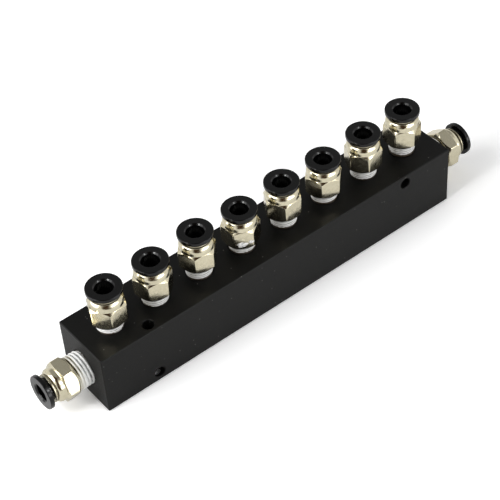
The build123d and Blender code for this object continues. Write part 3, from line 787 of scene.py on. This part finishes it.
# What outlets and inlets both have: setting, kind, name, description, and the value for outlets and for inlets
FITTING_SIZES = (
    ("across_flats", millimetres, "Across flats", "Hexagon size", 12.5, 14.0),
    ("corner_loss", millimetres, "Corner loss", "How far the hexagon's corners are turned down", 0.1, 0.1),
    ("thread_shown", millimetres, "Thread shown", "Seat to hexagon", 3.9, 5.9),
    ("hex_length", millimetres, "Hexagon length", "Height of the hexagon", 7.95, 5.1),
    ("base_step", millimetres, "Base step", "Flat to the turned face below the hexagon", 0.25, 0.25),
    ("base_chamfer", degrees, "Base chamfer", "Slope of the chamfer below the hexagon", 45, 45),
    ("top_chamfer", degrees, "Top chamfer", "Slope of the chamfer above the hexagon", 45, 20),
    ("shoulder_step", millimetres, "Shoulder step", "Flat to shoulder", 0.05, 0.7),
    ("shoulder_wall", millimetres, "Shoulder wall", "Straight part of the shoulder", 1.0, 1.0),
    ("shoulder_length", millimetres, "Shoulder length", "Height of the rounded shoulder", 3.1, 2.8),
    ("crest_r", millimetres, "Crest radius", "Thread crests at the seat", 4.865, 6.45),
    ("pitch", millimetres, "Pitch", "Thread pitch", 0.907, 1.337),
    ("ridge", millimetres, "Ridge", "Depth of the coated thread", 0.3, 0.5),
    ("valley_power", amount, "Groove", "Higher for narrower grooves", 1.9, 1.9),
    ("root_depth", millimetres, "Root depth", "Depth of the thread below its coat", 0.58, 0.86),
    ("coat_gap", millimetres, "Coat gap", "Bare relief between the coat and the hexagon", 0.3, 0.3),
    ("bare_turns", amount, "Bare turns", "Turns rubbed bare below the hexagon", 0.5, 1.7),
    ("filled", share, "Filled", "How far sealant fills the last grooves on the lower side", 0.0, 0.8),
    ("engaged", millimetres, "Engaged", "Thread below the seat", 4.1, 5.5),
    # Painted shade on the body's mouth edge and on the retainer: how far on to the shoulder it reaches and how
    # strong it is
    ("grime_reach", millimetres, "Grime reach", "How far grime spreads on to the shoulder", 0.2, 0.0),
    ("grime", share, "Grime", "Strength of the grime", 1.0, 0.45),
    ("ring_gap", millimetres, "Ring gap", "Retainer rim to flange with the ring fully out", 1.0, 1.4),
)


def fitting_sizes(group, purpose, column):
    """A group of the settings above, with its defaults from one column."""
    settings = {row[0]: row[1](row[2], row[3], row[column]) for row in FITTING_SIZES}
    return type(group, (bpy.types.PropertyGroup,), {"__doc__": purpose, "__annotations__": settings})


OutletSizes = fitting_sizes("OutletSizes", "Sizes of the fittings on the top face", 4)
InletSizes = fitting_sizes("InletSizes", "Sizes of the fittings on the end faces", 5)


class StudioSettings(bpy.types.PropertyGroup):
    """Camera, lamps and floor"""

    azimuth: degrees("Azimuth", "Camera's turn round the bar", -35.671)
    elevation: degrees("Elevation", "Camera's height above the floor", 44.71)
    roll: degrees("Roll", "Camera's turn about its own axis", -4.419)
    distance: number("Distance", "Camera to target", 0.56466, unit="LENGTH")
    target: bpy.props.FloatVectorProperty(
        name="Target", description="Point the camera looks at", subtype="XYZ", default=(-0.006197, 0, 0.019871)
    )
    lens: number("Lens", "Focal length in millimetres", 114.558, min=1)
    surround: amount("Surround", "Light that the white surround gives", 0.31)
    left_lamp: number("Left lamp", "Soft box on the left", 9.4, unit="POWER", min=0)
    right_lamp: number("Right lamp", "Soft box on the right", 4.5, unit="POWER", min=0)
    floor: colour("Floor", "Seamless white floor", "#f2f2f2")
    room: colour("Room", "The room, as shiny pieces show it through the tent's slot", "#42301f")


# Operators


def dress(piece, material, body, node):
    """Gives a new piece its material, its body, the CAD node it stands for and its finish slot."""
    piece.data.materials.append(material)
    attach(piece, body)
    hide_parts(node)


def finish_nodes(names, material):
    """Puts a material on CAD nodes that are shown as they are."""
    for name in names:
        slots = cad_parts[name].data.materials
        slots.clear()
        slots.append(material)


class MANIFOLD_OT_bar(bpy.types.Operator):
    """Finish the anodised bar"""

    bl_idname = "manifold.bar"
    bl_label = "Anodised bar"

    def execute(self, context):
        finish_nodes(["manifold_block"], material_from(black_anodised_aluminium, context.scene.manifold_finish))
        return {"FINISHED"}


class MANIFOLD_OT_bodies(bpy.types.Operator):
    """Build the hexagon bodies and their retainer bushes"""

    bl_idname = "manifold.bodies"
    bl_label = "Hexagon bodies"

    def execute(self, context):
        nickel = material_from(nickel_plated_brass, context.scene.manifold_finish)
        for fitting in fittings():
            dress(hexagon_body(fitting), nickel, "manifold", f"{fitting.name}_body")
            dress(retainer_bush(fitting), nickel, "manifold", f"{fitting.name}_retainer")
        return {"FINISHED"}


class MANIFOLD_OT_rings(bpy.types.Operator):
    """Build the release rings"""

    bl_idname = "manifold.rings"
    bl_label = "Release rings"

    def execute(self, context):
        acetal = material_from(moulded_black_acetal, context.scene.manifold_finish)
        for fitting in fittings():
            name = fitting.name
            dress(push_ring(fitting), acetal, f"{name}_button", f"{name}_release_ring")
        return {"FINISHED"}


class MANIFOLD_OT_threads(bpy.types.Operator):
    """Build the threads under their white sealant"""

    bl_idname = "manifold.threads"
    bl_label = "Sealed threads"

    def execute(self, context):
        sealant = material_from(white_thread_sealant, context.scene.manifold_finish)
        every = fittings()
        # Two lumps were left on the fourth hexagon when its thread was sealed
        fourth = every[3]
        coats = [
            sealant_lump(fourth, "outlet_4_large_lump", across=-0.6, height=6.3, reach=(1.9, 1.15), rise=0.4),
            sealant_lump(fourth, "outlet_4_small_lump", across=2.6, height=7.1, reach=(0.95, 0.7), rise=0.35),
        ]
        coats += [sealed_thread(fitting) for fitting in every]
        for coat in coats:
            kind = "inlet" if coat.name.startswith("inlet") else "outlet"
            dress(coat, sealant, "manifold", f"{kind}_thread_sealant")
        return {"FINISHED"}


class MANIFOLD_OT_inner_parts(bpy.types.Operator):
    """Finish the grab rings and seals inside the bodies"""

    bl_idname = "manifold.inner_parts"
    bl_label = "Grab rings and seals"

    def execute(self, context):
        look = context.scene.manifold_finish
        finish_nodes([f"{name}_grab_ring" for name in OUTLETS + INLETS], material_from(rolled_spring_steel, look))
        finish_nodes([f"{name}_seal" for name in OUTLETS + INLETS], material_from(nitrile_rubber, look))
        return {"FINISHED"}


class MANIFOLD_OT_studio(bpy.types.Operator):
    """Set up the floor, the surround, the lamps and the camera"""

    bl_idname = "manifold.studio"
    bl_label = "Studio"

    def execute(self, context):
        context.scene.view_settings.view_transform = "Standard"
        for build in (studio_tent, studio_floor, studio_lamps, photo_camera):
            build(context.scene.manifold_studio)
        return {"FINISHED"}


class MANIFOLD_PT_panel(bpy.types.Panel):
    """Lists the manifold's pieces and their settings"""

    bl_idname = "MANIFOLD_PT_panel"
    bl_label = "Air manifold"
    bl_space_type = "VIEW_3D"
    bl_region_type = "UI"
    bl_category = "Air manifold"

    def draw(self, context):
        for operator in OPERATORS:
            self.layout.operator(operator.bl_idname)
        for group in GROUPS:
            settings = getattr(context.scene, group)
            box = self.layout.box()
            for key in settings.bl_rna.properties.keys():
                if key not in ("rna_type", "name"):
                    box.prop(settings, key)


OPERATORS = (
    MANIFOLD_OT_bar,
    MANIFOLD_OT_bodies,
    MANIFOLD_OT_rings,
    MANIFOLD_OT_threads,
    MANIFOLD_OT_inner_parts,
    MANIFOLD_OT_studio,
)
GROUPS = {
    "manifold_finish": ManifoldFinish,
    "manifold_cartridge": CartridgeSizes,
    "manifold_outlet": OutletSizes,
    "manifold_inlet": InletSizes,
    "manifold_studio": StudioSettings,
}


def register():
    """Adds the settings, operators and panel."""
    for name, group in GROUPS.items():
        bpy.utils.register_class(group)
        setattr(bpy.types.Scene, name, bpy.props.PointerProperty(type=group))
    for item in (*OPERATORS, MANIFOLD_PT_panel):
        bpy.utils.register_class(item)


def unregister():
    """Removes them again."""
    for item in (MANIFOLD_PT_panel, *reversed(OPERATORS)):
        bpy.utils.unregister_class(item)
    for name, group in reversed(GROUPS.items()):
        delattr(bpy.types.Scene, name)
        bpy.utils.unregister_class(group)


def main():
    """Builds every piece and the studio, then notes the sizes of the frame and of the dressed model."""
    register()
    bpy.ops.manifold.bar()
    bpy.ops.manifold.bodies()
    bpy.ops.manifold.rings()
    bpy.ops.manifold.threads()
    bpy.ops.manifold.inner_parts()
    bpy.ops.manifold.studio()


if __name__ == "__main__":
    main()
